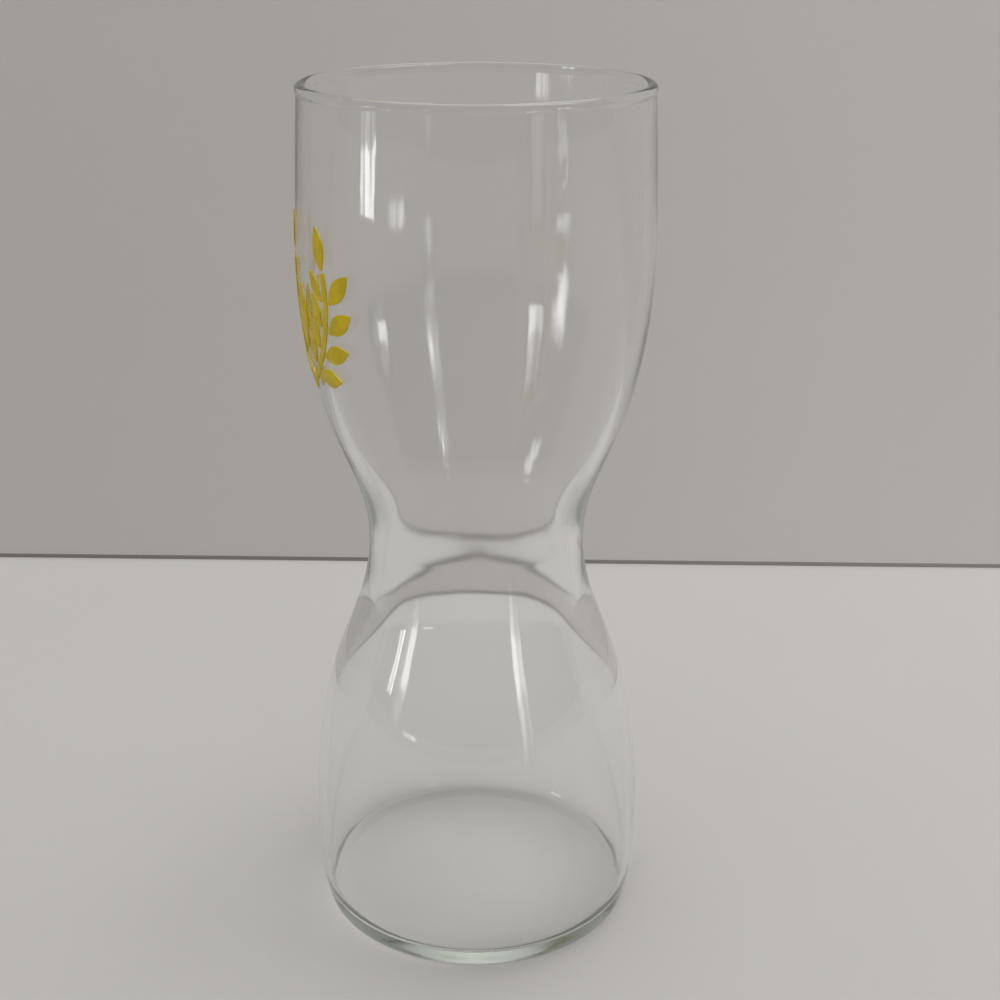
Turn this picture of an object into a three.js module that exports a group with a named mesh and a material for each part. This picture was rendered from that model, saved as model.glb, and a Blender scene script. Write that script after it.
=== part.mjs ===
// A clear hourglass drinking glass in millimetres: +Z up, axis on Z, foot on the plane z = 0.
// A tall upper bowl, a narrow waist and a lower bowl share one cavity above a flat bottom.
// A spray of two leafy branches in yellow enamel is fired onto the left side of the upper bowl.

import * as THREE from 'three';
import { mergeVertices } from 'three/addons/utils/BufferGeometryUtils.js';

// Heights of the sections, stacked from the table to the rim
const DISH_HEIGHT = 18;
const LOWER_BOWL_HEIGHT = 77.8;
const UPPER_BOWL_HEIGHT = 67.2;
const MOUTH_HEIGHT = 35;

// Outside radii of the rings where the sections meet; the mouth draws in from the chest
const BELLY_RADIUS = 39.95;
const WAIST_RADIUS = 25;
const CHEST_RADIUS = 39.05;
const MOUTH_INSET = 1.35;

// Wall thicknesses at the same rings; the glass is thickest where the waist was drawn in
const BELLY_WALL = 2.4;
const WAIST_WALL = 3.55;
const CHEST_WALL = 2.5;
const MOUTH_WALL = 1.9;

// How far the outside curve runs straight up or down from each ring before it bends
const BELLY_REACH_UP = 51.5;
const WAIST_REACH_DOWN = 23.7;
const WAIST_REACH_UP = 19.4;
const CHEST_REACH_DOWN = 41.2;
const CHEST_REACH_UP = 10;

// The same for the inside curve, which gives the wall its change of thickness
const INNER_BELLY_REACH_UP = 52.7;
const INNER_WAIST_REACH_DOWN = 28.8;
const INNER_WAIST_REACH_UP = 18;
const INNER_CHEST_REACH_DOWN = 40;

// Rounded bead that the flame leaves on the rim, a little thicker than the wall below it
const BEAD_RADIUS = 1.25;

// Bottom dish: rounded heel, flat bearing ring, faint hollow underneath, flat floor with a close corner
const HEEL_INSET = 1.75;
const HEEL_ROUND = 1.8;
const HEEL_LEAN = THREE.MathUtils.degToRad(13.5);
const HEEL_REACH = 5;
const BELLY_REACH_DOWN = 6;
const RING_WIDTH = 4.5;
const HOLLOW_DEPTH = 0.25;
const FLOOR_THICKNESS = 3.8;
const CORNER_WIDTH = 2.6;
const CORNER_REACH_DOWN = 12;
const CORNER_REACH_OUT = 1.6;

// Enamel spray: place on the bowl, layer and the sizes of its branches and leaves
const SPRAY_BEARING = THREE.MathUtils.degToRad(199);
const SPRAY_FOOT_HEIGHT = 137;
const ENAMEL_CLEARANCE = 0.1;
const ENAMEL_THICKNESS = 0.25;
const ENAMEL_GAP = 0.45;
const ENAMEL_TIP = 0.4;
const STEM_WIDTH = 1.6;
const STEM_RADIUS = 22;
const STEM_START_HEADING = THREE.MathUtils.degToRad(65);
const STEM_END_HEADING = THREE.MathUtils.degToRad(-15);
const KNOT_LENGTH = 4.4;
const KNOT_WIDTH = 4;
const LEAF_PAIRS = 4;
const FIRST_LEAF = 6.5;
const LEAF_PITCH = 6;
const LEAF_SPREAD = THREE.MathUtils.degToRad(40);
const OUTER_LEAF_LENGTH = 9;
const OUTER_LEAF_WIDTH = 4.1;
const INNER_LEAF_LENGTH = 7.4;
const INNER_LEAF_WIDTH = 2.8;
const BUD_RISE = 7;
const BUD_LENGTH = 14;
const BUD_WIDTH = 5.4;

// Fineness of the faceted surfaces
const TURN_STEPS = 64;
const BEND_STEPS = 10;
const SHORT_STEPS = 5;
const BEAD_STEPS = 8;
const LEAF_STEPS = 8;
const STEM_STEPS = 14;
const ACROSS_STEPS = 2;

// Ring heights follow from the stacked sections
const bellyZ = DISH_HEIGHT;
const waistZ = bellyZ + LOWER_BOWL_HEIGHT;
const chestZ = waistZ + UPPER_BOWL_HEIGHT;
const rimZ = chestZ + MOUTH_HEIGHT;

const glass = new THREE.MeshStandardMaterial({ color: 0xdde3dc, roughness: 0.04, metalness: 0 });
const enamel = new THREE.MeshStandardMaterial({ color: 0xa59119, roughness: 0.35, metalness: 0 });

const point = (r, z) => new THREE.Vector2(r, z);

// Curve between two rings that leaves both of them upright
function bend(lowRadius, lowZ, lowReach, highRadius, highZ, highReach) {
  return new THREE.CubicBezierCurve(
    point(lowRadius, lowZ),
    point(lowRadius, lowZ + lowReach),
    point(highRadius, highZ - highReach),
    point(highRadius, highZ),
  );
}

// Outside and inside curves of both bowls
const outerLower = bend(BELLY_RADIUS, bellyZ, BELLY_REACH_UP, WAIST_RADIUS, waistZ, WAIST_REACH_DOWN);
const outerUpper = bend(WAIST_RADIUS, waistZ, WAIST_REACH_UP, CHEST_RADIUS, chestZ, CHEST_REACH_DOWN);
const innerBelly = BELLY_RADIUS - BELLY_WALL;
const innerWaist = WAIST_RADIUS - WAIST_WALL;
const innerChest = CHEST_RADIUS - CHEST_WALL;
const innerLower = bend(
  innerBelly, bellyZ, INNER_BELLY_REACH_UP, innerWaist, waistZ, INNER_WAIST_REACH_DOWN,
);
const innerUpper = bend(
  innerWaist, waistZ, INNER_WAIST_REACH_UP, innerChest, chestZ, INNER_CHEST_REACH_DOWN,
);

const mouthR = CHEST_RADIUS - MOUTH_INSET;

// The bead is centred on the wall, and the wall runs into it where their widths agree
const beadR = mouthR - MOUTH_WALL / 2;
const beadZ = rimZ - BEAD_RADIUS;
const beadTuck = Math.acos(Math.min(1, MOUTH_WALL / 2 / BEAD_RADIUS));
const mouthZ = beadZ - BEAD_RADIUS * Math.sin(beadTuck);
const outerMouth = new THREE.QuadraticBezierCurve(
  point(CHEST_RADIUS, chestZ),
  point(CHEST_RADIUS, chestZ + CHEST_REACH_UP),
  point(mouthR, mouthZ),
);
const innerMouth = new THREE.QuadraticBezierCurve(
  point(innerChest, chestZ),
  point(innerChest, chestZ + CHEST_REACH_UP),
  point(mouthR - MOUTH_WALL, mouthZ),
);

// Points on a circle in the turning section
function arc(centreR, centreZ, radius, fromAngle, toAngle, steps) {
  const points = [];
  for (let i = 0; i <= steps; i += 1) {
    const angle = THREE.MathUtils.lerp(fromAngle, toAngle, i / steps);
    points.push(point(centreR + radius * Math.cos(angle), centreZ + radius * Math.sin(angle)));
  }
  return points;
}

// One closed body turned about Z from a section that runs up the outside and down the inside
function turned(name, section) {
  const kept = section.filter((p, i) => i === 0 || p.distanceTo(section[i - 1]) > 1e-6);
  const flat = new THREE.LatheGeometry(kept, TURN_STEPS);
  flat.deleteAttribute('normal');
  flat.deleteAttribute('uv');
  flat.rotateX(Math.PI / 2);
  const mesh = new THREE.Mesh(mergeVertices(flat, 1e-5), glass);
  mesh.name = name;
  return mesh;
}

function upperBowl() {
  const section = [
    ...outerUpper.getPoints(BEND_STEPS),
    ...outerMouth.getPoints(SHORT_STEPS),
    ...arc(beadR, beadZ, BEAD_RADIUS, -beadTuck, Math.PI + beadTuck, BEAD_STEPS),
    ...innerMouth.getPoints(SHORT_STEPS).reverse(),
    ...innerUpper.getPoints(BEND_STEPS).reverse(),
  ];
  return turned('upper_bowl', [...section, section[0]]);
}

function lowerBowl() {
  const section = [
    ...outerLower.getPoints(BEND_STEPS),
    ...innerLower.getPoints(BEND_STEPS).reverse(),
  ];
  return turned('lower_bowl', [...section, section[0]]);
}

function bottomDish() {
  const heelR = BELLY_RADIUS - HEEL_INSET - HEEL_ROUND;
  const heel = arc(heelR, HEEL_ROUND, HEEL_ROUND, -Math.PI / 2, -HEEL_LEAN, SHORT_STEPS);
  const heelTop = heel[heel.length - 1];
  const side = new THREE.CubicBezierCurve(
    heelTop,
    point(heelTop.x + HEEL_REACH * Math.sin(HEEL_LEAN), heelTop.y + HEEL_REACH * Math.cos(HEEL_LEAN)),
    point(BELLY_RADIUS, bellyZ - BELLY_REACH_DOWN),
    point(BELLY_RADIUS, bellyZ),
  );
  const hollowR = heelR - RING_WIDTH;
  const hollow = new THREE.QuadraticBezierCurve(
    point(0, HOLLOW_DEPTH),
    point(hollowR / 2, HOLLOW_DEPTH),
    point(hollowR, 0),
  );
  const floorR = innerBelly - CORNER_WIDTH;
  const corner = new THREE.CubicBezierCurve(
    point(innerBelly, bellyZ),
    point(innerBelly, bellyZ - CORNER_REACH_DOWN),
    point(floorR + CORNER_REACH_OUT, FLOOR_THICKNESS),
    point(floorR, FLOOR_THICKNESS),
  );
  return turned('bottom_dish', [
    ...hollow.getPoints(SHORT_STEPS),
    ...heel,
    ...side.getPoints(SHORT_STEPS),
    ...corner.getPoints(BEND_STEPS),
    point(0, FLOOR_THICKNESS),
  ]);
}

// Outside radius of the upper bowl at a height, found by halving along its curve
function bowlRadius(z) {
  const curve = z > chestZ ? outerMouth : outerUpper;
  let low = 0;
  let high = 1;
  for (let i = 0; i < 40; i += 1) {
    const middle = (low + high) / 2;
    if (curve.getPoint(middle).y < z) {
      low = middle;
    } else {
      high = middle;
    }
  }
  return curve.getPoint(low).x;
}

// Lays a point of the flat drawing (across, up) on the bowl, a given lift above the glass
function onBowl(across, up, lift) {
  const z = SPRAY_FOOT_HEIGHT + up;
  const bearing = SPRAY_BEARING + across / CHEST_RADIUS;
  const r = bowlRadius(z) + lift;
  return [r * Math.cos(bearing), r * Math.sin(bearing), z];
}

// One island of enamel: a strip between two drawn edges, laid on the bowl and given a thickness
function island(name, edges, steps) {
  const row = ACROSS_STEPS + 1;
  const face = row * (steps + 1);
  const positions = [];
  for (const lift of [ENAMEL_CLEARANCE, ENAMEL_CLEARANCE + ENAMEL_THICKNESS]) {
    for (let i = 0; i <= steps; i += 1) {
      const [left, right] = edges(i / steps);
      for (let j = 0; j <= ACROSS_STEPS; j += 1) {
        const spot = left.clone().lerp(right, j / ACROSS_STEPS);
        positions.push(...onBowl(spot.x, spot.y, lift));
      }
    }
  }
  const index = [];
  const at = (i, j) => i * row + j;
  for (let i = 0; i < steps; i += 1) {
    for (let j = 0; j < ACROSS_STEPS; j += 1) {
      const [a, b, c, d] = [at(i, j), at(i, j + 1), at(i + 1, j + 1), at(i + 1, j)];
      index.push(a, c, b, a, d, c);
      index.push(face + a, face + b, face + c, face + a, face + c, face + d);
    }
  }
  const loop = [];
  for (let j = 0; j < ACROSS_STEPS; j += 1) loop.push(at(0, j));
  for (let i = 0; i < steps; i += 1) loop.push(at(i, ACROSS_STEPS));
  for (let j = ACROSS_STEPS; j > 0; j -= 1) loop.push(at(steps, j));
  for (let i = steps; i > 0; i -= 1) loop.push(at(i, 0));
  loop.forEach((p, i) => {
    const q = loop[(i + 1) % loop.length];
    index.push(p, q, face + q, p, face + q, face + p);
  });
  const geometry = new THREE.BufferGeometry();
  geometry.setAttribute('position', new THREE.Float32BufferAttribute(positions, 3));
  geometry.setIndex(index);
  const mesh = new THREE.Mesh(geometry, enamel);
  mesh.name = name;
  return mesh;
}

// Unit direction in the drawing, with the heading measured from straight up towards the right
const ahead = (heading) => point(Math.sin(heading), Math.cos(heading));
const toRight = (heading) => point(Math.cos(heading), -Math.sin(heading));

// Pointed leaf that starts at a spot and grows along a heading
function leaf(name, start, heading, length, width) {
  const edges = (share) => {
    const half = ENAMEL_TIP / 2 + (width - ENAMEL_TIP) / 2 * Math.sin(Math.PI * share);
    const middle = start.clone().addScaledVector(ahead(heading), length * share);
    const side = toRight(heading);
    return [middle.clone().addScaledVector(side, -half), middle.clone().addScaledVector(side, half)];
  };
  return island(name, edges, LEAF_STEPS);
}

// One branch: a bowed stem with pairs of leaves and a leaf at its end
function branch(side, sign) {
  const stemStart = KNOT_WIDTH / 2 + ENAMEL_GAP;
  const stemLength = STEM_RADIUS * (STEM_START_HEADING - STEM_END_HEADING);
  const headingAt = (run) => STEM_START_HEADING - run / STEM_RADIUS;
  const spotAt = (run) => point(
    sign * STEM_RADIUS * (Math.cos(headingAt(run)) - Math.cos(STEM_START_HEADING)),
    STEM_RADIUS * (Math.sin(STEM_START_HEADING) - Math.sin(headingAt(run))),
  );
  const edges = (share) => {
    const run = THREE.MathUtils.lerp(stemStart, stemLength, share);
    const across = toRight(sign * headingAt(run));
    const spot = spotAt(run);
    return [
      spot.clone().addScaledVector(across, -STEM_WIDTH / 2),
      spot.clone().addScaledVector(across, STEM_WIDTH / 2),
    ];
  };
  const pieces = [island(`sprig_stem_${side}`, edges, STEM_STEPS)];
  const lift = STEM_WIDTH / 2 + ENAMEL_GAP + ENAMEL_TIP / 2;
  for (let i = 0; i < LEAF_PAIRS; i += 1) {
    const run = FIRST_LEAF + i * LEAF_PITCH;
    const heading = headingAt(run);
    const outward = toRight(sign * heading).multiplyScalar(sign);
    const outerSpot = spotAt(run).addScaledVector(outward, lift);
    const innerSpot = spotAt(run).addScaledVector(outward, -lift);
    const outerHeading = sign * (heading + LEAF_SPREAD);
    const innerHeading = sign * (heading - LEAF_SPREAD);
    const outerName = `sprig_leaf_${side}_outer_${i + 1}`;
    const innerName = `sprig_leaf_${side}_inner_${i + 1}`;
    pieces.push(leaf(outerName, outerSpot, outerHeading, OUTER_LEAF_LENGTH, OUTER_LEAF_WIDTH));
    pieces.push(leaf(innerName, innerSpot, innerHeading, INNER_LEAF_LENGTH, INNER_LEAF_WIDTH));
  }
  const tipSpot = spotAt(stemLength + ENAMEL_GAP);
  const tipHeading = sign * STEM_END_HEADING;
  pieces.push(leaf(`sprig_leaf_${side}_tip`, tipSpot, tipHeading, OUTER_LEAF_LENGTH, OUTER_LEAF_WIDTH));
  return pieces;
}

const hourglass = new THREE.Group();
hourglass.name = 'hourglass_glass';
hourglass.add(upperBowl(), lowerBowl(), bottomDish());
hourglass.add(leaf('sprig_knot', point(0, -KNOT_LENGTH / 2), 0, KNOT_LENGTH, KNOT_WIDTH));
hourglass.add(leaf('sprig_bud', point(0, BUD_RISE), 0, BUD_LENGTH, BUD_WIDTH));
hourglass.add(...branch('left', -1), ...branch('right', 1));

export default hourglass;
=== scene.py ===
# %% [markdown]
# # A clear hourglass glass
#
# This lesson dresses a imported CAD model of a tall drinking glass. The CAD nodes give every size and
# place. Blender gives what a solid model lacks: one unbroken body of clear glass, enamel with soft
# edges, and light that shows both. The numbers are in millimetres, as on a workshop drawing, and
# one helper turns them into Blender's metres.

import math

import bpy
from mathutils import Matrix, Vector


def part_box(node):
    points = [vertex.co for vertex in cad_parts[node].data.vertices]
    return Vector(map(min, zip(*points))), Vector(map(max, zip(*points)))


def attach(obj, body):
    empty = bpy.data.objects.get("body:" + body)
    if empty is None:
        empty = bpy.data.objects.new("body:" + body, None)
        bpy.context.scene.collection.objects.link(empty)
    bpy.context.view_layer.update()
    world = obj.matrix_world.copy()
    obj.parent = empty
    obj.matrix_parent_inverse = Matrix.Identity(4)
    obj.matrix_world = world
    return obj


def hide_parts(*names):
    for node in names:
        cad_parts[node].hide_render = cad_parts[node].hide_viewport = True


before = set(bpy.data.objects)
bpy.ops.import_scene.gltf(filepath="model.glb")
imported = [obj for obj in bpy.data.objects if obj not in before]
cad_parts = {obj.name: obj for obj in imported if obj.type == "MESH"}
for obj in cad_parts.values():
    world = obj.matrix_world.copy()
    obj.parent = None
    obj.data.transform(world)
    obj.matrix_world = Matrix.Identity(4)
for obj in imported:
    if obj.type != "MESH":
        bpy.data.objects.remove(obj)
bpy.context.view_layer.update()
MM = 0.001
_, dish_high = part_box("bottom_dish")
bowl_low, bowl_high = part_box("upper_bowl")
belly_z = dish_high.z / MM
waist_z = bowl_low.z / MM
rim_z = bowl_high.z / MM
belly_r = dish_high.x / MM
chest_r = bowl_high.x / MM
print(f"rings at {belly_z:.1f}, {waist_z:.1f} and {rim_z:.1f} mm")
print(f"belly {belly_r:.2f} mm and chest {chest_r:.2f} mm in radius")

# %% [markdown]
# ## The section of the glass
#
# A blown glass is round, so half of its cut-through outline says all about its shape. That outline
# is one closed line: under the foot, up the outside, over the rim, down the inside and across the
# floor. It could be drawn point by point, but a Bezier curve needs only the rings where the real
# glass was squeezed or let out, and its handles keep the line smooth between them. The same ring
# radii, wall thicknesses and handle lengths shape the CAD solids.

# %% Sizes of the section
WAIST_R, CHEST_RISE, MOUTH_INSET = 25.0, 67.2, 1.35
BELLY_WALL, WAIST_WALL, CHEST_WALL, MOUTH_WALL = 2.4, 3.55, 2.5, 1.9
BEAD_R = 1.25
HEEL_INSET, HEEL_ROUND, HEEL_LEAN = 1.75, 1.8, math.radians(13.5)
RING_WIDTH, HOLLOW_DEPTH = 4.5, 0.25
FLOOR, CORNER_WIDTH = 3.8, 2.6

chest_z = waist_z + CHEST_RISE
mouth_r = chest_r - MOUTH_INSET
heel_r = belly_r - HEEL_INSET - HEEL_ROUND
hollow_r = heel_r - RING_WIDTH
inner_belly, inner_waist = belly_r - BELLY_WALL, WAIST_R - WAIST_WALL
inner_chest, inner_mouth = chest_r - CHEST_WALL, mouth_r - MOUTH_WALL
floor_r = inner_belly - CORNER_WIDTH
bead_r, bead_z = mouth_r - MOUTH_WALL / 2, rim_z - BEAD_R
tuck = math.acos(MOUTH_WALL / 2 / BEAD_R)
mouth_z = bead_z - BEAD_R * math.sin(tuck)
print(f"wall {MOUTH_WALL} mm at the mouth, {WAIST_WALL} mm at the waist, floor {FLOOR} mm")


# %% [markdown]
# A knot of the curve is a place with two handles. The handles are written as steps from the knot,
# so a knot with no step before or after it has a straight line on that side. A round corner is a
# quarter of a circle or less, and a Bezier curve follows one closely when its handles have the
# length that `arc_handle` gives.

# %% Helpers for knots
TAPER_REACH = 10.0
third = (math.pi + 2 * tuck) / 3


def knot(r, z, before=(0, 0), after=(0, 0)):
    return {"at": (r, z), "before": before, "after": after}


def arc_handle(angle, radius):
    return 4 / 3 * math.tan(angle / 4) * radius


def on_bead(angle):
    """A knot on the bead of the rim, which three equal arcs go round."""
    reach = arc_handle(third, BEAD_R)
    step = (-math.sin(angle) * reach, math.cos(angle) * reach)
    place = (bead_r + BEAD_R * math.cos(angle), bead_z + BEAD_R * math.sin(angle))
    return knot(*place, before=(-step[0], -step[1]), after=step)


def toward_mouth(ring_r, end_r):
    """Steps of the gentle taper from the chest to the mouth, from both of its ends."""
    pull = chest_z + TAPER_REACH - mouth_z
    return (0, 2 / 3 * TAPER_REACH), (2 / 3 * (ring_r - end_r), 2 / 3 * pull)


print(f"bead of {BEAD_R} mm radius, {math.degrees(tuck):.1f} degrees tucked into the wall")

# %% [markdown]
# The reaches are the lengths of the handles at the rings, up or down. A long reach keeps the wall
# close to its ring for a while, and two long reaches that meet make a tight turn between them. The
# inner line has reaches of its own, and they decide how the waist bends what is seen through it.

# %% Knots of the section
HEEL_REACH, BELLY_REACH_DOWN, BELLY_REACH_UP = 5.0, 6.0, 51.5
WAIST_REACH_DOWN, WAIST_REACH_UP, CHEST_REACH_DOWN = 23.7, 19.4, 41.2
INNER_CHEST_DOWN, INNER_WAIST_UP, INNER_WAIST_DOWN, INNER_BELLY_UP = 40.0, 18.0, 28.8, 52.7
CORNER_REACH_DOWN, CORNER_REACH_OUT = 12.0, 1.6

heel = arc_handle(math.pi / 2 - HEEL_LEAN, HEEL_ROUND)
lean = (math.sin(HEEL_LEAN), math.cos(HEEL_LEAN))
heel_top = (heel_r + HEEL_ROUND * lean[1], HEEL_ROUND - HEEL_ROUND * lean[0])
outer_up, outer_down = toward_mouth(chest_r, mouth_r)
inner_up, inner_down = toward_mouth(inner_chest, inner_mouth)
waist = knot(WAIST_R, waist_z, before=(0, -WAIST_REACH_DOWN), after=(0, WAIST_REACH_UP))
chest = knot(chest_r, chest_z, before=(0, -CHEST_REACH_DOWN), after=outer_up)
rim_out = {**on_bead(-tuck), "before": outer_down}
rim_in = {**on_bead(math.pi + tuck), "after": inner_down}

section = [
    knot(0, HOLLOW_DEPTH, after=(hollow_r / 3, 0)),
    knot(hollow_r, 0, before=(-hollow_r / 3, 2 / 3 * HOLLOW_DEPTH)),
    knot(heel_r, 0, after=(heel, 0)),
    knot(*heel_top, before=(-lean[0] * heel, -lean[1] * heel),
         after=(lean[0] * HEEL_REACH, lean[1] * HEEL_REACH)),
    knot(belly_r, belly_z, before=(0, -BELLY_REACH_DOWN), after=(0, BELLY_REACH_UP)),
    waist,
    chest,
    rim_out,
    on_bead(-tuck + third),
    on_bead(-tuck + 2 * third),
    rim_in,
    knot(inner_chest, chest_z, before=inner_up, after=(0, -INNER_CHEST_DOWN)),
    knot(inner_waist, waist_z, before=(0, INNER_WAIST_UP), after=(0, -INNER_WAIST_DOWN)),
    knot(inner_belly, belly_z, before=(0, INNER_BELLY_UP), after=(0, -CORNER_REACH_DOWN)),
    knot(floor_r, FLOOR, before=(CORNER_REACH_OUT, 0)),
    knot(0, FLOOR),
]
print(f"section with {len(section)} knots")


# %% [markdown]
# ## Turning the section into a body
#
# The curve becomes a chain of vertices, and Spin carries that chain once round the axis, as a
# potter's wheel would. The first and last turn meet, and the two ends on the axis fall together
# into poles, so doubles are merged before the normals are set to point out of the glass. The result
# is one closed skin with glass inside it. That matters more than anything else here: light bends
# only where it enters or leaves the glass, and the CAD's inner faces between the bowls would bend
# it again.

# %% Draw the section as a curve
STEPS_PER_CURVE = 22

bpy.ops.object.select_all(action="DESELECT")
bpy.ops.curve.primitive_bezier_curve_add(location=(0, 0, 0))
outline = bpy.context.object
outline.data.dimensions = "3D"
outline.data.resolution_u = STEPS_PER_CURVE
line = outline.data.splines[0]
line.bezier_points.add(len(section) - 2)
for spot, k in zip(line.bezier_points, section):
    spot.handle_left_type = spot.handle_right_type = "FREE"
    (r, z), (br, bz), (ar, az) = k["at"], k["before"], k["after"]
    spot.co = (r * MM, 0, z * MM)
    spot.handle_left = ((r + br) * MM, 0, (z + bz) * MM)
    spot.handle_right = ((r + ar) * MM, 0, (z + az) * MM)
print(f"outline of {len(line.bezier_points)} points")

# %% Spin it into a body
STEPS_ROUND, MERGE, GLASS_CREASE = 144, 1e-6, math.radians(35)

bpy.ops.object.convert(target="MESH")
glass_body = bpy.context.object
glass_body.name = "glass_body"
bpy.ops.object.mode_set(mode="EDIT")
bpy.ops.mesh.select_all(action="SELECT")
bpy.ops.mesh.remove_doubles(threshold=MERGE)
bpy.ops.mesh.spin(steps=STEPS_ROUND, angle=2 * math.pi, center=(0, 0, 0), axis=(0, 0, 1))
bpy.ops.mesh.select_all(action="SELECT")
bpy.ops.mesh.remove_doubles(threshold=MERGE)
bpy.ops.mesh.normals_make_consistent(inside=False)
bpy.ops.object.mode_set(mode="OBJECT")
bpy.ops.object.shade_smooth_by_angle(angle=GLASS_CREASE)
print(f"glass body with {len(glass_body.data.polygons)} faces")

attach(glass_body, "root")
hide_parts("upper_bowl", "lower_bowl", "bottom_dish")


# %% [markdown]
# ## The enamel spray
#
# The yellow decoration is enamel paste, pressed through a screen onto the bowl and fired until it
# fuses. Each leaf, stem and dot is its own island of paste. An island starts as a flat grid. Its
# rows follow the drawing of that leaf or stem, and its points are laid on the bowl by a formula,
# because Blender's bend tool needs a window. `bowl_r` finds the bowl's radius at a height on the
# same Bezier curve that shaped the glass.

# %% Find the radius of the bowl
SPRAY_FOOT, HALVINGS = 137.0, 30


def bezier(a, b, c, d, t):
    s = 1 - t
    return s**3 * a + 3 * s * s * t * b + 3 * s * t * t * c + t**3 * d


def bowl_r(z):
    """Outside radius of the upper bowl at a height, by halving along its curve."""
    low_knot, high_knot = (chest, rim_out) if z > chest_z else (waist, chest)
    (r0, z0), (r3, z3) = low_knot["at"], high_knot["at"]
    r1, z1 = r0 + low_knot["after"][0], z0 + low_knot["after"][1]
    r2, z2 = r3 + high_knot["before"][0], z3 + high_knot["before"][1]
    low, high = 0.0, 1.0
    for _ in range(HALVINGS):
        middle = (low + high) / 2
        if bezier(z0, z1, z2, z3, middle) < z:
            low = middle
        else:
            high = middle
    return bezier(r0, r1, r2, r3, low)


print(f"bowl {bowl_r(SPRAY_FOOT):.2f} mm in radius at the foot of the spray")

# %% Lay a drawing on the bowl
SPRAY_BEARING = math.radians(199)
ENAMEL_SINK, ENAMEL_RISE, ENAMEL_EDGE = 0.05, 0.3, 0.12
ISLAND_COLUMNS, EDGE_STEPS = 6, 2
EDGE_FROM, ENAMEL_CREASE = math.radians(50), math.radians(40)


def on_bowl(across, up):
    z = SPRAY_FOOT + up
    bearing = SPRAY_BEARING + across / chest_r
    r = bowl_r(z) - ENAMEL_SINK
    return (r * math.cos(bearing) * MM, r * math.sin(bearing) * MM, z * MM)


def island(name, node, edges, rows):
    """One island of enamel between two edges, which `edges` gives at a share of its length."""
    bpy.ops.object.select_all(action="DESELECT")
    bpy.ops.mesh.primitive_grid_add(
        x_subdivisions=ISLAND_COLUMNS, y_subdivisions=rows, size=2, location=(0, 0, 0))
    piece = bpy.context.object
    piece.name = name
    for v in piece.data.vertices:
        (lx, ly), (rx, ry) = edges((v.co.y + 1) / 2)
        share = (v.co.x + 1) / 2
        v.co = on_bowl(lx + (rx - lx) * share, ly + (ry - ly) * share)
    bpy.ops.object.modifier_add(type="SOLIDIFY")
    piece.modifiers["Solidify"].thickness = (ENAMEL_SINK + ENAMEL_RISE) * MM
    piece.modifiers["Solidify"].offset = 1
    bpy.ops.object.modifier_apply(modifier="Solidify")
    bpy.ops.object.modifier_add(type="BEVEL")
    piece.modifiers["Bevel"].width = ENAMEL_EDGE * MM
    piece.modifiers["Bevel"].segments = EDGE_STEPS
    piece.modifiers["Bevel"].limit_method = "ANGLE"
    piece.modifiers["Bevel"].angle_limit = EDGE_FROM
    bpy.ops.object.modifier_apply(modifier="Bevel")
    bpy.ops.object.shade_smooth_by_angle(angle=ENAMEL_CREASE)
    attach(piece, "root")
    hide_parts(node)
    return piece


print(f"islands rise {ENAMEL_RISE} mm above the glass")

# %% [markdown]
# A leaf is widest in the middle and comes to a blunt point at both ends, which a sine gives. A stem
# keeps its width and bows along an arc, so its heading turns evenly from its foot to its tip. Every
# leaf is drawn from where it leaves the stem, in pairs that spread to both sides. The knot and the
# bud are drawn as short, upright leaves.

# %% Draw a leaf, the knot and the bud
KNOT, BUD, BUD_FOOT = (4.4, 4.0), (14.0, 5.4), 7.0
TIP, LEAF_ROWS = 0.4, 16
enamel_pieces = []


def leaf(name, start, heading, size):
    length, width = size
    ahead = (math.sin(heading), math.cos(heading))
    side = (math.cos(heading), -math.sin(heading))

    def edges(share):
        half = TIP / 2 + (width - TIP) / 2 * math.sin(math.pi * share)
        x, y = start[0] + ahead[0] * length * share, start[1] + ahead[1] * length * share
        return (x - side[0] * half, y - side[1] * half), (x + side[0] * half, y + side[1] * half)

    enamel_pieces.append(island(f"enamel_{name}", f"sprig_{name}", edges, LEAF_ROWS))


leaf("knot", (0, -KNOT[0] / 2), 0, KNOT)
leaf("bud", (0, BUD_FOOT), 0, BUD)
print(f"{len(enamel_pieces)} islands on the middle line")

# %% Draw the two branches
STEM_R, STEM_W, STEM_FOOT, STEM_ROWS = 22.0, 1.6, 2.45, 40
START, END, SPREAD = math.radians(65), math.radians(-15), math.radians(40)
OUTER_LEAF, INNER_LEAF, LEAF_GAP = (9.0, 4.1), (7.4, 2.8), 0.45
FIRST_LEAF, LEAF_STEP, LEAF_PAIRS = 6.5, 6.0, 4


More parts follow.
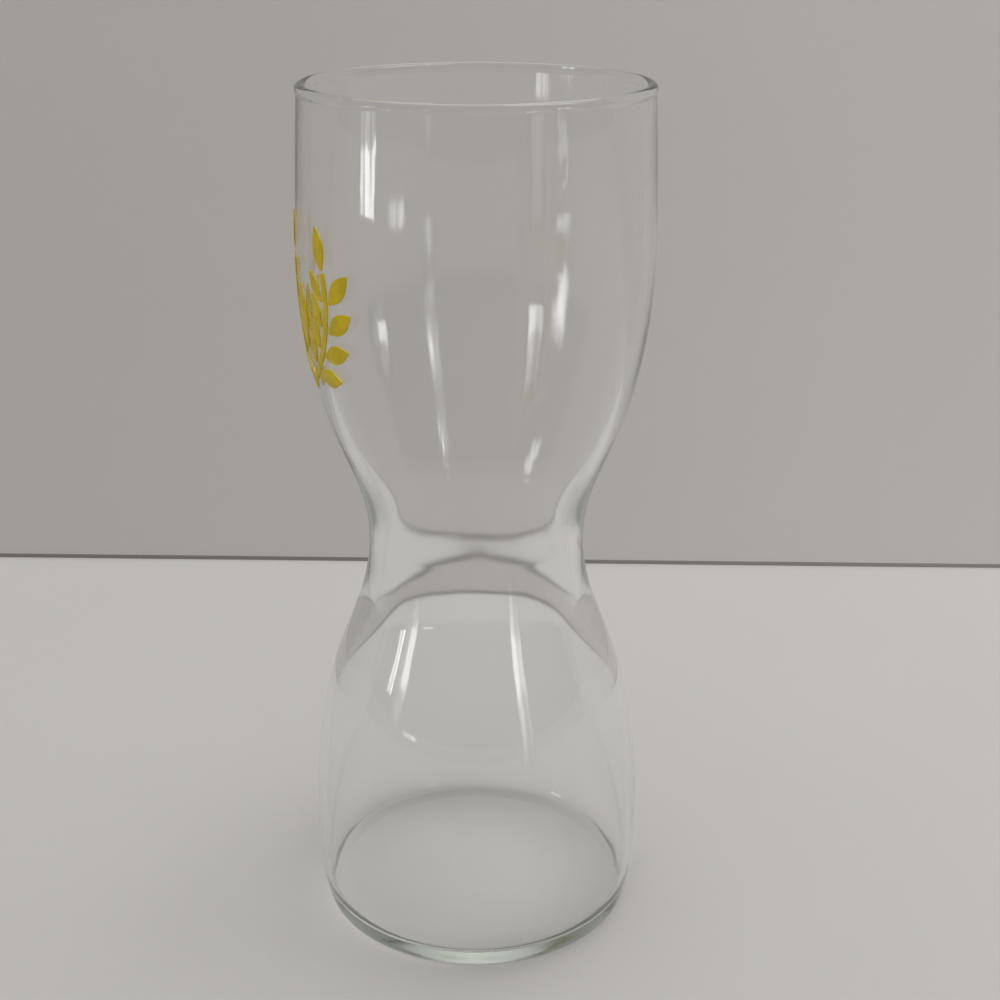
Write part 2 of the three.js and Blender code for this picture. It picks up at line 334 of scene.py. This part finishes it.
def branch(side, sign):
    def heading(run):
        return START - run / STEM_R

    def spot(run):
        return (sign * STEM_R * (math.cos(heading(run)) - math.cos(START)),
                STEM_R * (math.sin(START) - math.sin(heading(run))))

    length = STEM_R * (START - END)

    def edges(share):
        run = STEM_FOOT + (length - STEM_FOOT) * share
        (x, y), h = spot(run), sign * heading(run)
        dx, dy = math.cos(h) * STEM_W / 2, math.sin(h) * STEM_W / 2
        return (x - dx, y + dy), (x + dx, y - dy)

    enamel_pieces.append(island(f"enamel_stem_{side}", f"sprig_stem_{side}", edges, STEM_ROWS))
    off = STEM_W / 2 + LEAF_GAP + TIP / 2
    for i in range(LEAF_PAIRS):
        run = FIRST_LEAF + LEAF_STEP * i
        (x, y), h = spot(run), heading(run)
        out = (sign * math.cos(h) * off, -math.sin(h) * off)
        outer, inner = (x + out[0], y + out[1]), (x - out[0], y - out[1])
        leaf(f"leaf_{side}_outer_{i + 1}", outer, sign * (h + SPREAD), OUTER_LEAF)
        leaf(f"leaf_{side}_inner_{i + 1}", inner, sign * (h - SPREAD), INNER_LEAF)
    leaf(f"leaf_{side}_tip", spot(length + LEAF_GAP), sign * END, OUTER_LEAF)


branch("left", -1)
branch("right", 1)
print(f"enamel spray of {len(enamel_pieces)} islands")


# %% [markdown]
# ## Finishes
#
# A few helpers keep the node work short: one adds a node with its settings, one joins nodes, and
# one starts an empty material. Anything that is the same all over is set on the shader's own
# sockets. What changes over the surface comes from textures that read the piece's own Object
# coordinates, in metres, so a scale of 100 makes marks about a centimetre across.

# %% Node helpers
def add(tree, kind, values=None, **settings):
    made = tree.nodes.new(kind)
    for key, value in settings.items():
        setattr(made, key, value)
    for key, value in (values or {}).items():
        made.inputs[key].default_value = value
    return made


def wire(tree, *runs):
    """Joins nodes. Each run names a node, its output, the next node and that node's input."""
    for start, gives, end, takes in runs:
        tree.links.new(start.outputs[gives], end.inputs[takes])


def blank(name):
    material = bpy.data.materials.new(name)
    material.use_nodes = True
    material.node_tree.nodes.clear()
    return material, material.node_tree


def linear(red, green, blue):
    """A colour picked on a screen, 0 to 255, as the linear values that shaders take."""
    parts = [c / 255 for c in (red, green, blue)]
    light = [c / 12.92 if c <= 0.04045 else ((c + 0.055) / 1.055) ** 2.4 for c in parts]
    return (*light, 1.0)


print("node helpers ready")


# %% [markdown]
# A glass that is used carries faint marks of handling: dried drops, wiped streaks and dust near the
# table. Both the glass and the enamel carry them, so they are one node group with a scale and an
# amount, and each material takes its own values.

# %% Group for marks of handling
marks = bpy.data.node_groups.new("handling marks", "ShaderNodeTree")
marks.interface.new_socket("Vector", in_out="INPUT", socket_type="NodeSocketVector")
marks.interface.new_socket("Scale", in_out="INPUT", socket_type="NodeSocketFloat")
marks.interface.new_socket("Amount", in_out="INPUT", socket_type="NodeSocketFloat")
marks.interface.new_socket("Mask", in_out="OUTPUT", socket_type="NodeSocketFloat")
given = marks.nodes.new("NodeGroupInput")
result = marks.nodes.new("NodeGroupOutput")
smear = add(marks, "ShaderNodeTexNoise", {"Detail": 5.0, "Roughness": 0.6, "Distortion": 0.8})
keep = add(marks, "ShaderNodeMapRange", {
    "From Min": 0.56, "From Max": 0.78, "To Min": 0.0, "To Max": 1.0})
level = add(marks, "ShaderNodeMath", operation="MULTIPLY")
wire(marks, (given, "Vector", smear, "Vector"), (given, "Scale", smear, "Scale"),
     (smear, "Fac", keep, "Value"), (keep, "Result", level, 0), (given, "Amount", level, 1),
     (level, "Value", result, "Mask"))
print("handling marks ready")

# %% [markdown]
# ### Clear glass
#
# Soda-lime glass is clear and faintly green, and the green shows only where light runs a long way
# inside it, as along the rim and round the edge of the foot. So the green is an absorption inside
# the body and not a paint on its skin. A blown wall is never quite even, and a slow ripple, longer
# up the wall than round it, makes the edges of reflections waver. A trace of roughness softens what
# is seen through the waist.
#
# A path tracer seldom finds the bent way through glass to a lamp, so glass would cast a black
# shadow. Rays that only ask for shadow therefore pass straight on. Where they meet the skin
# squarely they lose nothing, and where they graze it they lose some light, because real glass
# throws that light elsewhere. That gives a pale shadow with a darker edge.

# %% Skin of the glass
GLASS_ROUGHNESS = 0.04

glass, tree = blank("clear_glass")
place = add(tree, "ShaderNodeTexCoord")
stretch = add(tree, "ShaderNodeMapping", {"Scale": (1.0, 1.0, 0.45)})
ripple = add(tree, "ShaderNodeTexNoise", {"Scale": 70.0, "Detail": 1.5, "Roughness": 0.4})
wave = add(tree, "ShaderNodeBump", {"Strength": 0.12, "Distance": 0.0006})
smudge = add(tree, "ShaderNodeGroup", {"Scale": 45.0, "Amount": 0.035}, node_tree=marks)
soft = add(tree, "ShaderNodeMath", {1: GLASS_ROUGHNESS}, operation="ADD")
skin = add(tree, "ShaderNodeBsdfPrincipled", {
    "Base Color": (1.0, 1.0, 1.0, 1.0), "Metallic": 0.0, "IOR": 1.5, "Transmission Weight": 1.0})
wire(tree, (place, "Object", stretch, "Vector"), (stretch, "Vector", ripple, "Vector"),
     (ripple, "Fac", wave, "Height"), (wave, "Normal", skin, "Normal"),
     (place, "Object", smudge, "Vector"), (smudge, "Mask", soft, 0),
     (soft, "Value", skin, "Roughness"))
print("skin of the glass ready")

# %% Shadow and green of the glass
passing = add(tree, "ShaderNodeBsdfTransparent")
slant = add(tree, "ShaderNodeLayerWeight", {"Blend": 0.5})
let_by = add(tree, "ShaderNodeMapRange", {
    "From Min": 0.35, "From Max": 1.0, "To Min": 1.0, "To Max": 0.5})
rays = add(tree, "ShaderNodeLightPath")
either = add(tree, "ShaderNodeMixShader")
green = add(tree, "ShaderNodeVolumeAbsorption", {
    "Color": (0.72, 0.79, 0.7, 1.0), "Density": 8.0})
out = add(tree, "ShaderNodeOutputMaterial")
wire(tree, (slant, "Facing", let_by, "Value"), (let_by, "Result", passing, "Color"),
     (rays, "Is Shadow Ray", either, "Fac"), (skin, "BSDF", either, 1),
     (passing, "BSDF", either, 2), (either, "Shader", out, "Surface"),
     (green, "Volume", out, "Volume"))
glass_body.data.materials.clear()
glass_body.data.materials.append(glass)
print("clear glass on the body")

# %% [markdown]
# ### Fired enamel
#
# The paste is ground glass with pigment. Fired, it is an opaque ochre yellow with a soft gloss, a
# little uneven in depth where the screen left more or less of it, with tiny pits from burst
# bubbles. Noise at two scales gives the colour and the pits, and the handling marks dull the gloss.

# %% Fired enamel material
THIN_PASTE, THICK_PASTE, ENAMEL_ROUGHNESS = linear(212, 186, 14), linear(188, 163, 4), 0.34

enamel, tree = blank("fired_enamel")
place = add(tree, "ShaderNodeTexCoord")
cloud = add(tree, "ShaderNodeTexNoise", {"Scale": 260.0, "Detail": 4.0, "Roughness": 0.6})
tones = add(tree, "ShaderNodeValToRGB")
tones.color_ramp.elements[0].position, tones.color_ramp.elements[1].position = 0.32, 0.68
tones.color_ramp.elements[0].color = THICK_PASTE
tones.color_ramp.elements[1].color = THIN_PASTE
grain = add(tree, "ShaderNodeTexNoise", {"Scale": 2600.0, "Detail": 2.0})
pits = add(tree, "ShaderNodeBump", {"Strength": 0.25, "Distance": 0.00012})
worn = add(tree, "ShaderNodeGroup", {"Scale": 220.0, "Amount": 0.25}, node_tree=marks)
dull = add(tree, "ShaderNodeMath", {1: ENAMEL_ROUGHNESS}, operation="ADD")
paste = add(tree, "ShaderNodeBsdfPrincipled", {
    "Metallic": 0.0, "IOR": 1.5, "Specular IOR Level": 0.25})
out = add(tree, "ShaderNodeOutputMaterial")
wire(tree, (place, "Object", cloud, "Vector"), (cloud, "Fac", tones, "Fac"),
     (tones, "Color", paste, "Base Color"), (place, "Object", grain, "Vector"),
     (grain, "Fac", pits, "Height"), (pits, "Normal", paste, "Normal"),
     (place, "Object", worn, "Vector"), (worn, "Mask", dull, 0),
     (dull, "Value", paste, "Roughness"),
     (paste, "BSDF", out, "Surface"))
for piece in enamel_pieces:
    piece.data.materials.clear()
    piece.data.materials.append(enamel)
print(f"fired enamel on {len(enamel_pieces)} islands")

# %% [markdown]
# ## The stage
#
# Glass shows little of itself and much of what is around it, so the stage is part of the picture.
# The glass stands on a pale table in front of a grey wall, with a thin dark gap where they meet.
# The table lies a hair below the foot, because two faces in one plane flicker. The wall is only a
# backdrop. It shows from its front alone, so that a camera behind it still sees the glass, and it
# neither shades nor lights the table. Its paint grows a little lighter to the right, which is
# painted light, as a window on that side would give.
#
# The flat foot works like a light guide: rays that enter its edge are mirrored to and fro before
# they come out at the far side. The stage answers rays that were mirrored four times or more in its
# own way, with painted light. The table shows them a fixed dim glow, a painted shade, which darkens
# both flanks of the foot's edge, and the wall glows for them right behind the glass, a painted
# highlight, which gives the edge its bright middle.

# %% Sheets and matte paint
BLOTCH, PAINTED_LIGHT_SPAN = 0.04, 0.15


def sheet(name, material, size, place, turn=(0, 0, 0)):
    bpy.ops.object.select_all(action="DESELECT")
    bpy.ops.mesh.primitive_plane_add(size=1, location=place, rotation=turn)
    made = bpy.context.object
    made.name = name
    made.scale = (size[0], size[1], 1)
    bpy.ops.object.transform_apply(location=True, rotation=True, scale=True)
    made.data.materials.append(material)
    return made


def matte(name, colour, painted_light):
    """Matte paint with faint blotches. `painted_light` is painted light: how much lighter it gets
    over 0.3 m in x.
    """
    spread = BLOTCH + painted_light
    made, tree = blank(name)
    place = add(tree, "ShaderNodeTexCoord")
    split = add(tree, "ShaderNodeSeparateXYZ")
    blotch = add(tree, "ShaderNodeTexNoise", {"Scale": 9.0, "Detail": 3.0})
    faint = add(tree, "ShaderNodeMath", {1: BLOTCH / spread}, operation="MULTIPLY")
    # Painted light: the paint grows lighter towards +x, as if lit from that side.
    across = add(tree, "ShaderNodeMapRange", {
        "From Min": -PAINTED_LIGHT_SPAN, "From Max": PAINTED_LIGHT_SPAN, "To Min": 0.0, "To Max": painted_light / spread})
    both = add(tree, "ShaderNodeMath", operation="ADD")
    shade = add(tree, "ShaderNodeMix", data_type="RGBA", blend_type="MIX")
    for end, share in (("A", 1 - spread / 2), ("B", 1 + spread / 2)):
        shade.inputs[end].default_value = tuple(c * share for c in colour[:3]) + (1.0,)
    surface = add(tree, "ShaderNodeBsdfDiffuse")
    out = add(tree, "ShaderNodeOutputMaterial")
    wire(tree, (place, "Object", blotch, "Vector"), (place, "Object", split, "Vector"),
         (blotch, "Fac", faint, 0), (split, "X", across, "Value"), (faint, "Value", both, 0),
         (across, "Result", both, 1), (both, "Value", shade, "Factor"),
         (shade, "Result", surface, "Color"), (surface, "BSDF", out, "Surface"))
    return made, tree, surface, out


print("matte paint ready")

# %% [markdown]
# A material ends in one shader, so a paint that answers some rays in another way mixes two. The
# wall's front shows its paint and its back is clear, by Backfacing. Guided rays are told by Light
# Path, which counts how often a ray was mirrored.

# %% Answers to some rays
GUIDED = 3.5


def one_sided(tree, surface, out):
    """Lets a camera behind the sheet look through it."""
    facing = add(tree, "ShaderNodeNewGeometry")
    clear = add(tree, "ShaderNodeBsdfTransparent")
    side = add(tree, "ShaderNodeMixShader")
    wire(tree, (facing, "Backfacing", side, "Fac"), (surface, "BSDF", side, 1),
         (clear, "BSDF", side, 2), (side, "Shader", out, "Surface"))


def for_guided(tree, out, answer):
    """Gives rays that the glass has mirrored four times or more another answer than the paint."""
    paint = out.inputs["Surface"].links[0].from_socket
    rays = add(tree, "ShaderNodeLightPath")
    guided = add(tree, "ShaderNodeMath", {1: GUIDED}, operation="GREATER_THAN")
    either = add(tree, "ShaderNodeMixShader")
    wire(tree, (rays, "Glossy Depth", guided, 0), (guided, "Value", either, "Fac"))
    tree.links.new(paint, either.inputs[1])
    tree.links.new(answer.outputs[0], either.inputs[2])
    wire(tree, (either, "Shader", out, "Surface"))


print("answers ready")

# %% [markdown]
# Now the three sheets get their paint and their place. The wall is turned a little, because the far
# edge of the table slopes in this view, and the gap is a thin strip just in front of the wall. Its
# dark grey is painted shade, for the shadow down in the gap where the table meets the wall.
# Cycles takes a paint that glows for a lamp, so that is switched off for the table and the wall.

# %% Paints of the stage
TABLE, WALL, PAINTED_GAP_SHADE = linear(192, 189, 185), linear(208, 205, 201), linear(145, 141, 138)
# Painted light: the wall and the gap grow lighter to the right, as beside a window.
WALL_PAINTED_LIGHT, GAP_PAINTED_LIGHT = 0.13, 0.28
TABLE_PAINTED_SHADE, WALL_PAINTED_HIGHLIGHT = linear(128, 130, 122), linear(220, 222, 216)

table_paint, table_tree, _, table_out = matte("table_paint", TABLE, 0.0)
# Painted shade: to rays mirrored four times or more the table shows a fixed dim glow.
dim = add(table_tree, "ShaderNodeEmission", {"Color": TABLE_PAINTED_SHADE})
for_guided(table_tree, table_out, dim)

wall_paint, wall_tree, wall_surface, wall_out = matte("wall_paint", WALL, WALL_PAINTED_LIGHT)
one_sided(wall_tree, wall_surface, wall_out)
# Painted highlight: to the same rays the wall glows, brightest right behind the glass.
where = add(wall_tree, "ShaderNodeTexCoord")
split = add(wall_tree, "ShaderNodeSeparateXYZ")
aside = add(wall_tree, "ShaderNodeMath", operation="ABSOLUTE")
fade = add(wall_tree, "ShaderNodeMapRange", {
    "From Min": 0.0, "From Max": 0.085, "To Min": 1.0, "To Max": 0.36})
glow = add(wall_tree, "ShaderNodeEmission", {"Color": WALL_PAINTED_HIGHLIGHT})
wire(wall_tree, (where, "Object", split, "Vector"), (split, "X", aside, 0),
     (aside, "Value", fade, "Value"), (fade, "Result", glow, "Strength"))
for_guided(wall_tree, wall_out, glow)

# The gap strip is a dark sheet, painted shade for the shadow where table and wall meet.
gap_shade, gap_tree, gap_surface, gap_out = matte("gap_shade", PAINTED_GAP_SHADE, GAP_PAINTED_LIGHT)
one_sided(gap_tree, gap_surface, gap_out)
for paint in (table_paint, wall_paint):
    paint.cycles.emission_sampling = "NONE"
print("paints of the stage ready")

# %% Table, wall and gap
WALL_Y, WALL_TURN = 192.4, math.radians(-1.5)
STAGE_WIDTH, WALL_HEIGHT, GAP_HEIGHT, GAP_LEAD, TABLE_DROP = 6.0, 3.0, 2.8, 0.4, 0.1
upright = (math.pi / 2, 0, WALL_TURN)

sheet("table", table_paint, (STAGE_WIDTH, STAGE_WIDTH), (0, 0, -TABLE_DROP * MM))
wall = sheet("wall", wall_paint, (STAGE_WIDTH, WALL_HEIGHT),
             (0, WALL_Y * MM, WALL_HEIGHT / 2), upright)
wall.visible_diffuse = wall.visible_shadow = False
sheet("gap", gap_shade, (STAGE_WIDTH, GAP_HEIGHT * MM),
      (0, (WALL_Y - GAP_LEAD) * MM, 0.0), upright)
print("table, wall and gap in place")

# %% [markdown]
# ## Light
#
# Daylight comes from all round, and a broad lamp above the glass, to its right and behind it, gives
# the soft shadow. Both are set so that a paint shows about as it was picked. The world answers
# three kinds of ray. One that has touched something matte meets the daylight. One that looks
# straight out, or only through the glass, meets a pale backdrop. One that the glass has mirrored
# meets the dim room behind the camera. Glass bends and mirrors a ray many times before it gets out,
# above all round the edge of the foot, so the path limits are raised, or those places would turn
# black.

# %% World
DAYLIGHT, BACKDROP, DIM_ROOM = 0.7, linear(162, 159, 156), linear(75, 74, 73)
HALF_A_BOUNCE = 0.5

world = bpy.data.worlds.new("room")
bpy.context.scene.world = world
world.use_nodes = True
tree = world.node_tree
tree.nodes.clear()
rays = add(tree, "ShaderNodeLightPath")
looks = add(tree, "ShaderNodeMath", {1: HALF_A_BOUNCE}, operation="LESS_THAN")
mirrored = add(tree, "ShaderNodeMath", {1: HALF_A_BOUNCE}, operation="GREATER_THAN")
day = add(tree, "ShaderNodeBackground", {"Color": (1.0, 1.0, 1.0, 1.0), "Strength": DAYLIGHT})
backdrop = add(tree, "ShaderNodeBackground", {"Color": BACKDROP, "Strength": 1.0})
room = add(tree, "ShaderNodeBackground", {"Color": DIM_ROOM, "Strength": 1.0})
seen = add(tree, "ShaderNodeMixShader")
either = add(tree, "ShaderNodeMixShader")
out = add(tree, "ShaderNodeOutputWorld")
wire(tree, (rays, "Diffuse Depth", looks, 0), (rays, "Glossy Depth", mirrored, 0),
     (mirrored, "Value", seen, "Fac"), (backdrop, "Background", seen, 1),
     (room, "Background", seen, 2), (looks, "Value", either, "Fac"),
     (day, "Background", either, 1), (seen, "Shader", either, 2),
     (either, "Shader", out, "Surface"))
print("world lit")

# %% Lamp and path limits
LAMP_SIZE, LAMP_POWER, LAMP_PLACE = 1.0, 11.0, (0.7, 0.3, 1.5)
MAX_BOUNCES, MIRROR_BOUNCES, GLASS_BOUNCES = 48, 32, 40

lamp = bpy.data.lights.new("ceiling_lamp", "AREA")
lamp.shape = "RECTANGLE"
lamp.size = lamp.size_y = LAMP_SIZE
lamp.energy = LAMP_POWER
lamp_stand = bpy.data.objects.new("ceiling_lamp", lamp)
bpy.context.scene.collection.objects.link(lamp_stand)
lamp_stand.location = LAMP_PLACE
lamp_stand.visible_camera = lamp_stand.visible_transmission = False

paths = bpy.context.scene.cycles
paths.max_bounces = MAX_BOUNCES
paths.glossy_bounces, paths.transmission_bounces = MIRROR_BOUNCES, GLASS_BOUNCES
print("lamp lit")

# %% [markdown]
# ## Window cards
#
# The bright streaks on the glass are mirrored windows. In a studio, white cards beside the camera
# would give them. Such a card is a glowing sheet here, brighter in one pane than in the next, with
# the folds and the ragged edge of a curtain. The panes are a colour ramp over the height. Noise
# shifts that height a little, so that no pane ends in a straight line, and tears the two sides.
# Another noise, drawn out downwards, gives the folds.

# %% Light of a window
FOLD_STRETCH, PANE_SHIFT, SIDE_TEAR = 0.08, 0.06, 0.6


def window_light(tree, panes, strength):
    """A glow by panes, each a height in millimetres with its level of light."""
    low, high = panes[0][0], panes[-1][0]
    where = add(tree, "ShaderNodeTexCoord")
    split = add(tree, "ShaderNodeSeparateXYZ")
    ragged = add(tree, "ShaderNodeTexNoise", {"Scale": 30.0, "Detail": 3.0, "Roughness": 0.6})
    push = add(tree, "ShaderNodeMath", {
        1: PANE_SHIFT, 2: -PANE_SHIFT / 2}, operation="MULTIPLY_ADD")
    height = add(tree, "ShaderNodeMath", operation="ADD")
    share = add(tree, "ShaderNodeMapRange", {"From Min": low * MM, "From Max": high * MM})
    tones = add(tree, "ShaderNodeValToRGB")
    bands = tones.color_ramp
    bands.elements.remove(bands.elements[1])
    bands.elements[0].color = (panes[0][1],) * 3 + (1.0,)
    for z, light in panes[1:]:
        bands.elements.new((z - low) / (high - low)).color = (light, light, light, 1.0)
    hang = add(tree, "ShaderNodeMapping", {"Scale": (1.0, 1.0, FOLD_STRETCH)})
    folds = add(tree, "ShaderNodeTexNoise", {"Scale": 55.0, "Detail": 3.0})
    depth = add(tree, "ShaderNodeMapRange", {
        "From Min": 0.4, "From Max": 0.58, "To Min": 0.15, "To Max": 1.0})
    flat = add(tree, "ShaderNodeSeparateXYZ")
    middle = add(tree, "ShaderNodeMath", {1: 0.5}, operation="SUBTRACT")
    aside = add(tree, "ShaderNodeMath", operation="ABSOLUTE")
    torn = add(tree, "ShaderNodeMath", {
        1: SIDE_TEAR, 2: -SIDE_TEAR / 2}, operation="MULTIPLY_ADD")
    verge = add(tree, "ShaderNodeMath", operation="ADD")
    inside = add(tree, "ShaderNodeMapRange", {
        "From Min": 0.33, "From Max": 0.42, "To Min": 1.0, "To Max": 0.02})
    light = add(tree, "ShaderNodeMath", operation="MULTIPLY")
    power = add(tree, "ShaderNodeMath", {1: strength}, operation="MULTIPLY")
    glow = add(tree, "ShaderNodeEmission")
    wire(tree, (where, "Object", split, "Vector"), (where, "Object", ragged, "Vector"),
         (where, "Object", hang, "Vector"), (where, "UV", flat, "Vector"),
         (ragged, "Fac", push, 0), (push, "Value", height, 0), (split, "Z", height, 1),
         (height, "Value", share, "Value"), (share, "Result", tones, "Fac"),
         (hang, "Vector", folds, "Vector"), (folds, "Fac", depth, "Value"),
         (flat, "X", middle, 0), (middle, "Value", aside, 0), (ragged, "Fac", torn, 0),
         (aside, "Value", verge, 0), (torn, "Value", verge, 1), (verge, "Value", inside, "Value"),
         (depth, "Result", light, 0), (inside, "Result", light, 1), (light, "Value", power, 0),
         (tones, "Color", glow, "Color"), (power, "Value", glow, "Strength"))
    return glow


print("window light ready")

# %% [markdown]
# The outer skin, the inner skin and the back wall each show a window at a place of their own, so
# each streak has its own card. `faces` says how many faces of glass a ray may have passed on its
# way: none for the outer skin, two for the inner skin, four to six for the back wall. A card glows
# only for rays that the glass has mirrored once and is clear to all others. The lower bowl mirrors
# only what is low, so its two cards stand near and low. Cards stand apart in depth, because a sheet
# hides another one in its own plane.

# %% Stand up a card
def card(name, place, width, panes, strength, faces):
    """A sheet that faces the glass and glows for rays that the glass mirrored once."""
    paint, tree = blank(f"{name}_glow")
    glow = window_light(tree, panes, strength)
    fewest, most = faces
    rays = add(tree, "ShaderNodeLightPath")
    mirrored = add(tree, "ShaderNodeMath", {1: 1.0, 2: 0.5}, operation="COMPARE")
    through = add(tree, "ShaderNodeMath", {
        1: (fewest + most) / 2, 2: (most - fewest) / 2 + 0.5}, operation="COMPARE")
    reached = add(tree, "ShaderNodeMath", operation="MULTIPLY")
    clear = add(tree, "ShaderNodeBsdfTransparent")
    either = add(tree, "ShaderNodeMixShader")
    out = add(tree, "ShaderNodeOutputMaterial")
    wire(tree, (rays, "Glossy Depth", mirrored, 0), (rays, "Transmission Depth", through, 0),
         (mirrored, "Value", reached, 0), (through, "Value", reached, 1),
         (reached, "Value", either, "Fac"), (clear, "BSDF", either, 1),
         (glow, "Emission", either, 2), (either, "Shader", out, "Surface"))
    low, high = panes[0][0], panes[-1][0]
    middle = (place[0] * MM, place[1] * MM, (low + high) / 2 * MM)
    toward_glass = (math.pi / 2, 0, math.atan2(place[0], -place[1]))
    made = sheet(name, paint, (width * MM, (high - low) * MM), middle, toward_glass)
    made.visible_camera = made.visible_diffuse = made.visible_shadow = False


print("cards ready")

# %% Cards beside the camera
OUTER, INNER, BACK = (0, 0), (2, 2), (4, 6)
card("left_window", (-573, -231), 150, (
    (97, 1.0), (147, 1.0), (153, 0.2), (185, 0.2), (195, 0.02)), 14.0, OUTER)
card("left_window_low", (-157, -97), 40, (
    (55, 0.02), (75, 0.2), (85, 0.9), (97, 0.9), (101, 0.1), (112, 0.1)), 10.0, OUTER)
card("left_window_back", (-592, -239), 150, (
    (20, 0.02), (26, 0.5), (34, 0.5), (42, 0.02), (75, 0.05), (90, 0.7), (130, 1.0), (175, 1.0),
    (205, 0.4), (230, 0.03)), 12.0, BACK)
card("right_window", (380, -520), 120, (
    (90, 0.02), (100, 0.12), (185, 0.12), (200, 0.12)), 9.0, OUTER)
card("right_window_low", (101, -151), 34, (
    (30, 0.03), (60, 0.25), (88, 0.4), (97, 0.9), (112, 0.9), (115, 0.05)), 11.0, OUTER)
card("right_window_back", (392, -536), 120, (
    (30, 0.25), (60, 0.25), (80, 0.03), (125, 0.05), (140, 0.25), (175, 0.25), (187, 0.05),
    (240, 0.4), (280, 1.0), (325, 0.7), (360, 0.35), (400, 0.1), (455, 0.1), (475, 0.6),
    (505, 0.6), (520, 0.02)), 11.0, BACK)
card("sill", (-412, -346), 140, ((80, 1.0), (94, 1.0)), 8.0, INNER)
print("window cards stand beside the camera")

# %% [markdown]
# ## Camera
#
# The camera stands a little above the rim, about an arm's length away, and looks down at the glass.
# Its place and lens were found by fitting the ellipses of the rim and the foot.

# %% Camera
EYE_PLACE, EYE_DIP = (0.0, -323.1, 234.9), 22.151
FILM_WIDTH, LENS, SHIFT_RIGHT = 36.0, 53.97, 0.02376

eye = bpy.data.cameras.new("camera")
eye.sensor_width = FILM_WIDTH
eye.lens = LENS
eye.shift_x = SHIFT_RIGHT
tripod = bpy.data.objects.new("camera", eye)
bpy.context.scene.collection.objects.link(tripod)
tripod.location = tuple(c * MM for c in EYE_PLACE)
tripod.rotation_euler = (math.radians(90 - EYE_DIP), 0, 0)
bpy.context.scene.camera = tripod
bpy.context.scene.view_settings.view_transform = "Standard"
print("camera set")
